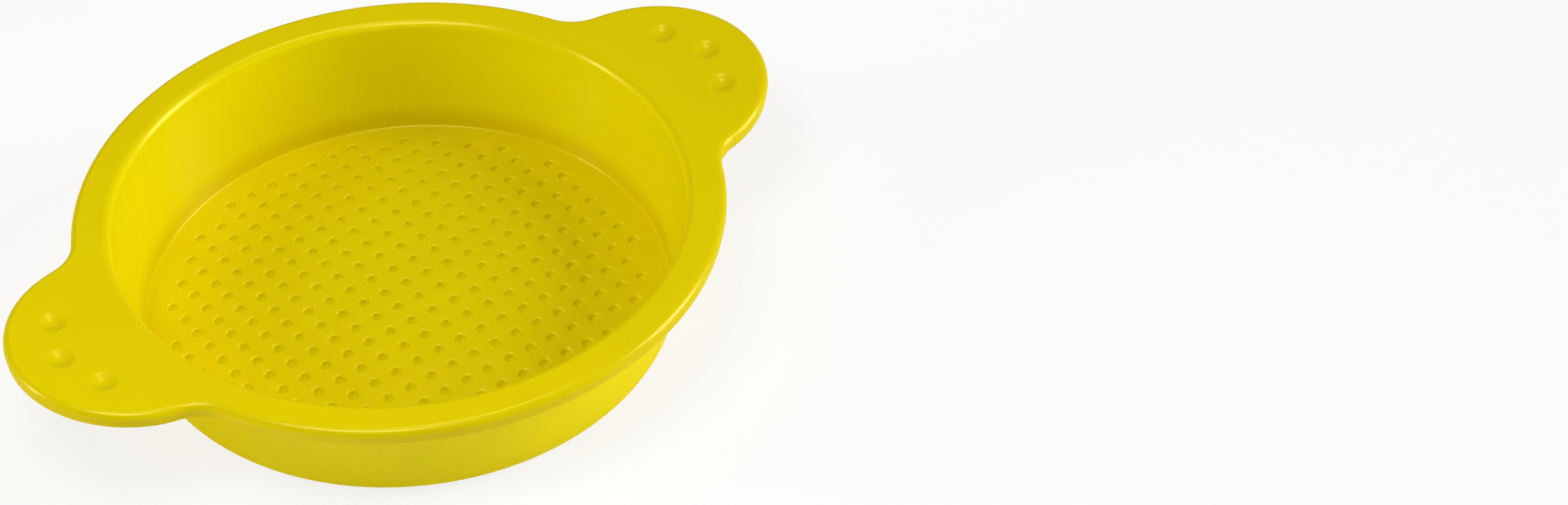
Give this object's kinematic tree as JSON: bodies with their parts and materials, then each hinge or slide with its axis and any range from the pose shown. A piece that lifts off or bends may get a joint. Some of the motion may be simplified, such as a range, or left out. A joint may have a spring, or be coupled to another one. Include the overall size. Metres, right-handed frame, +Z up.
{
  "type": "sand sieve",
  "caption": "Round toy sand sieve with a domed, pierced floor, a leaning wall, a flat rim with a turned-down edge and two side handles with finger dimples that tip up a little.",
  "frame": {"origin": "middle of the resting face, on the bowl's axis", "axes": "+Z up along the bowl's axis, X along the two handles, Y across them"},
  "size_m": [0.2226, 0.17, 0.0373],
  "materials": {
    "yellow_plastic": "satin moulded polypropylene, bright yellow"
  },
  "bodies": {
    "root": {"sieve_floor": "yellow_plastic", "base_ring": "yellow_plastic", "bowl_wall": "yellow_plastic", "rim_flange": "yellow_plastic", "front_edge": "yellow_plastic", "back_edge": "yellow_plastic", "left_handle": "yellow_plastic", "right_handle": "yellow_plastic"}
  },
  "joints": []
}
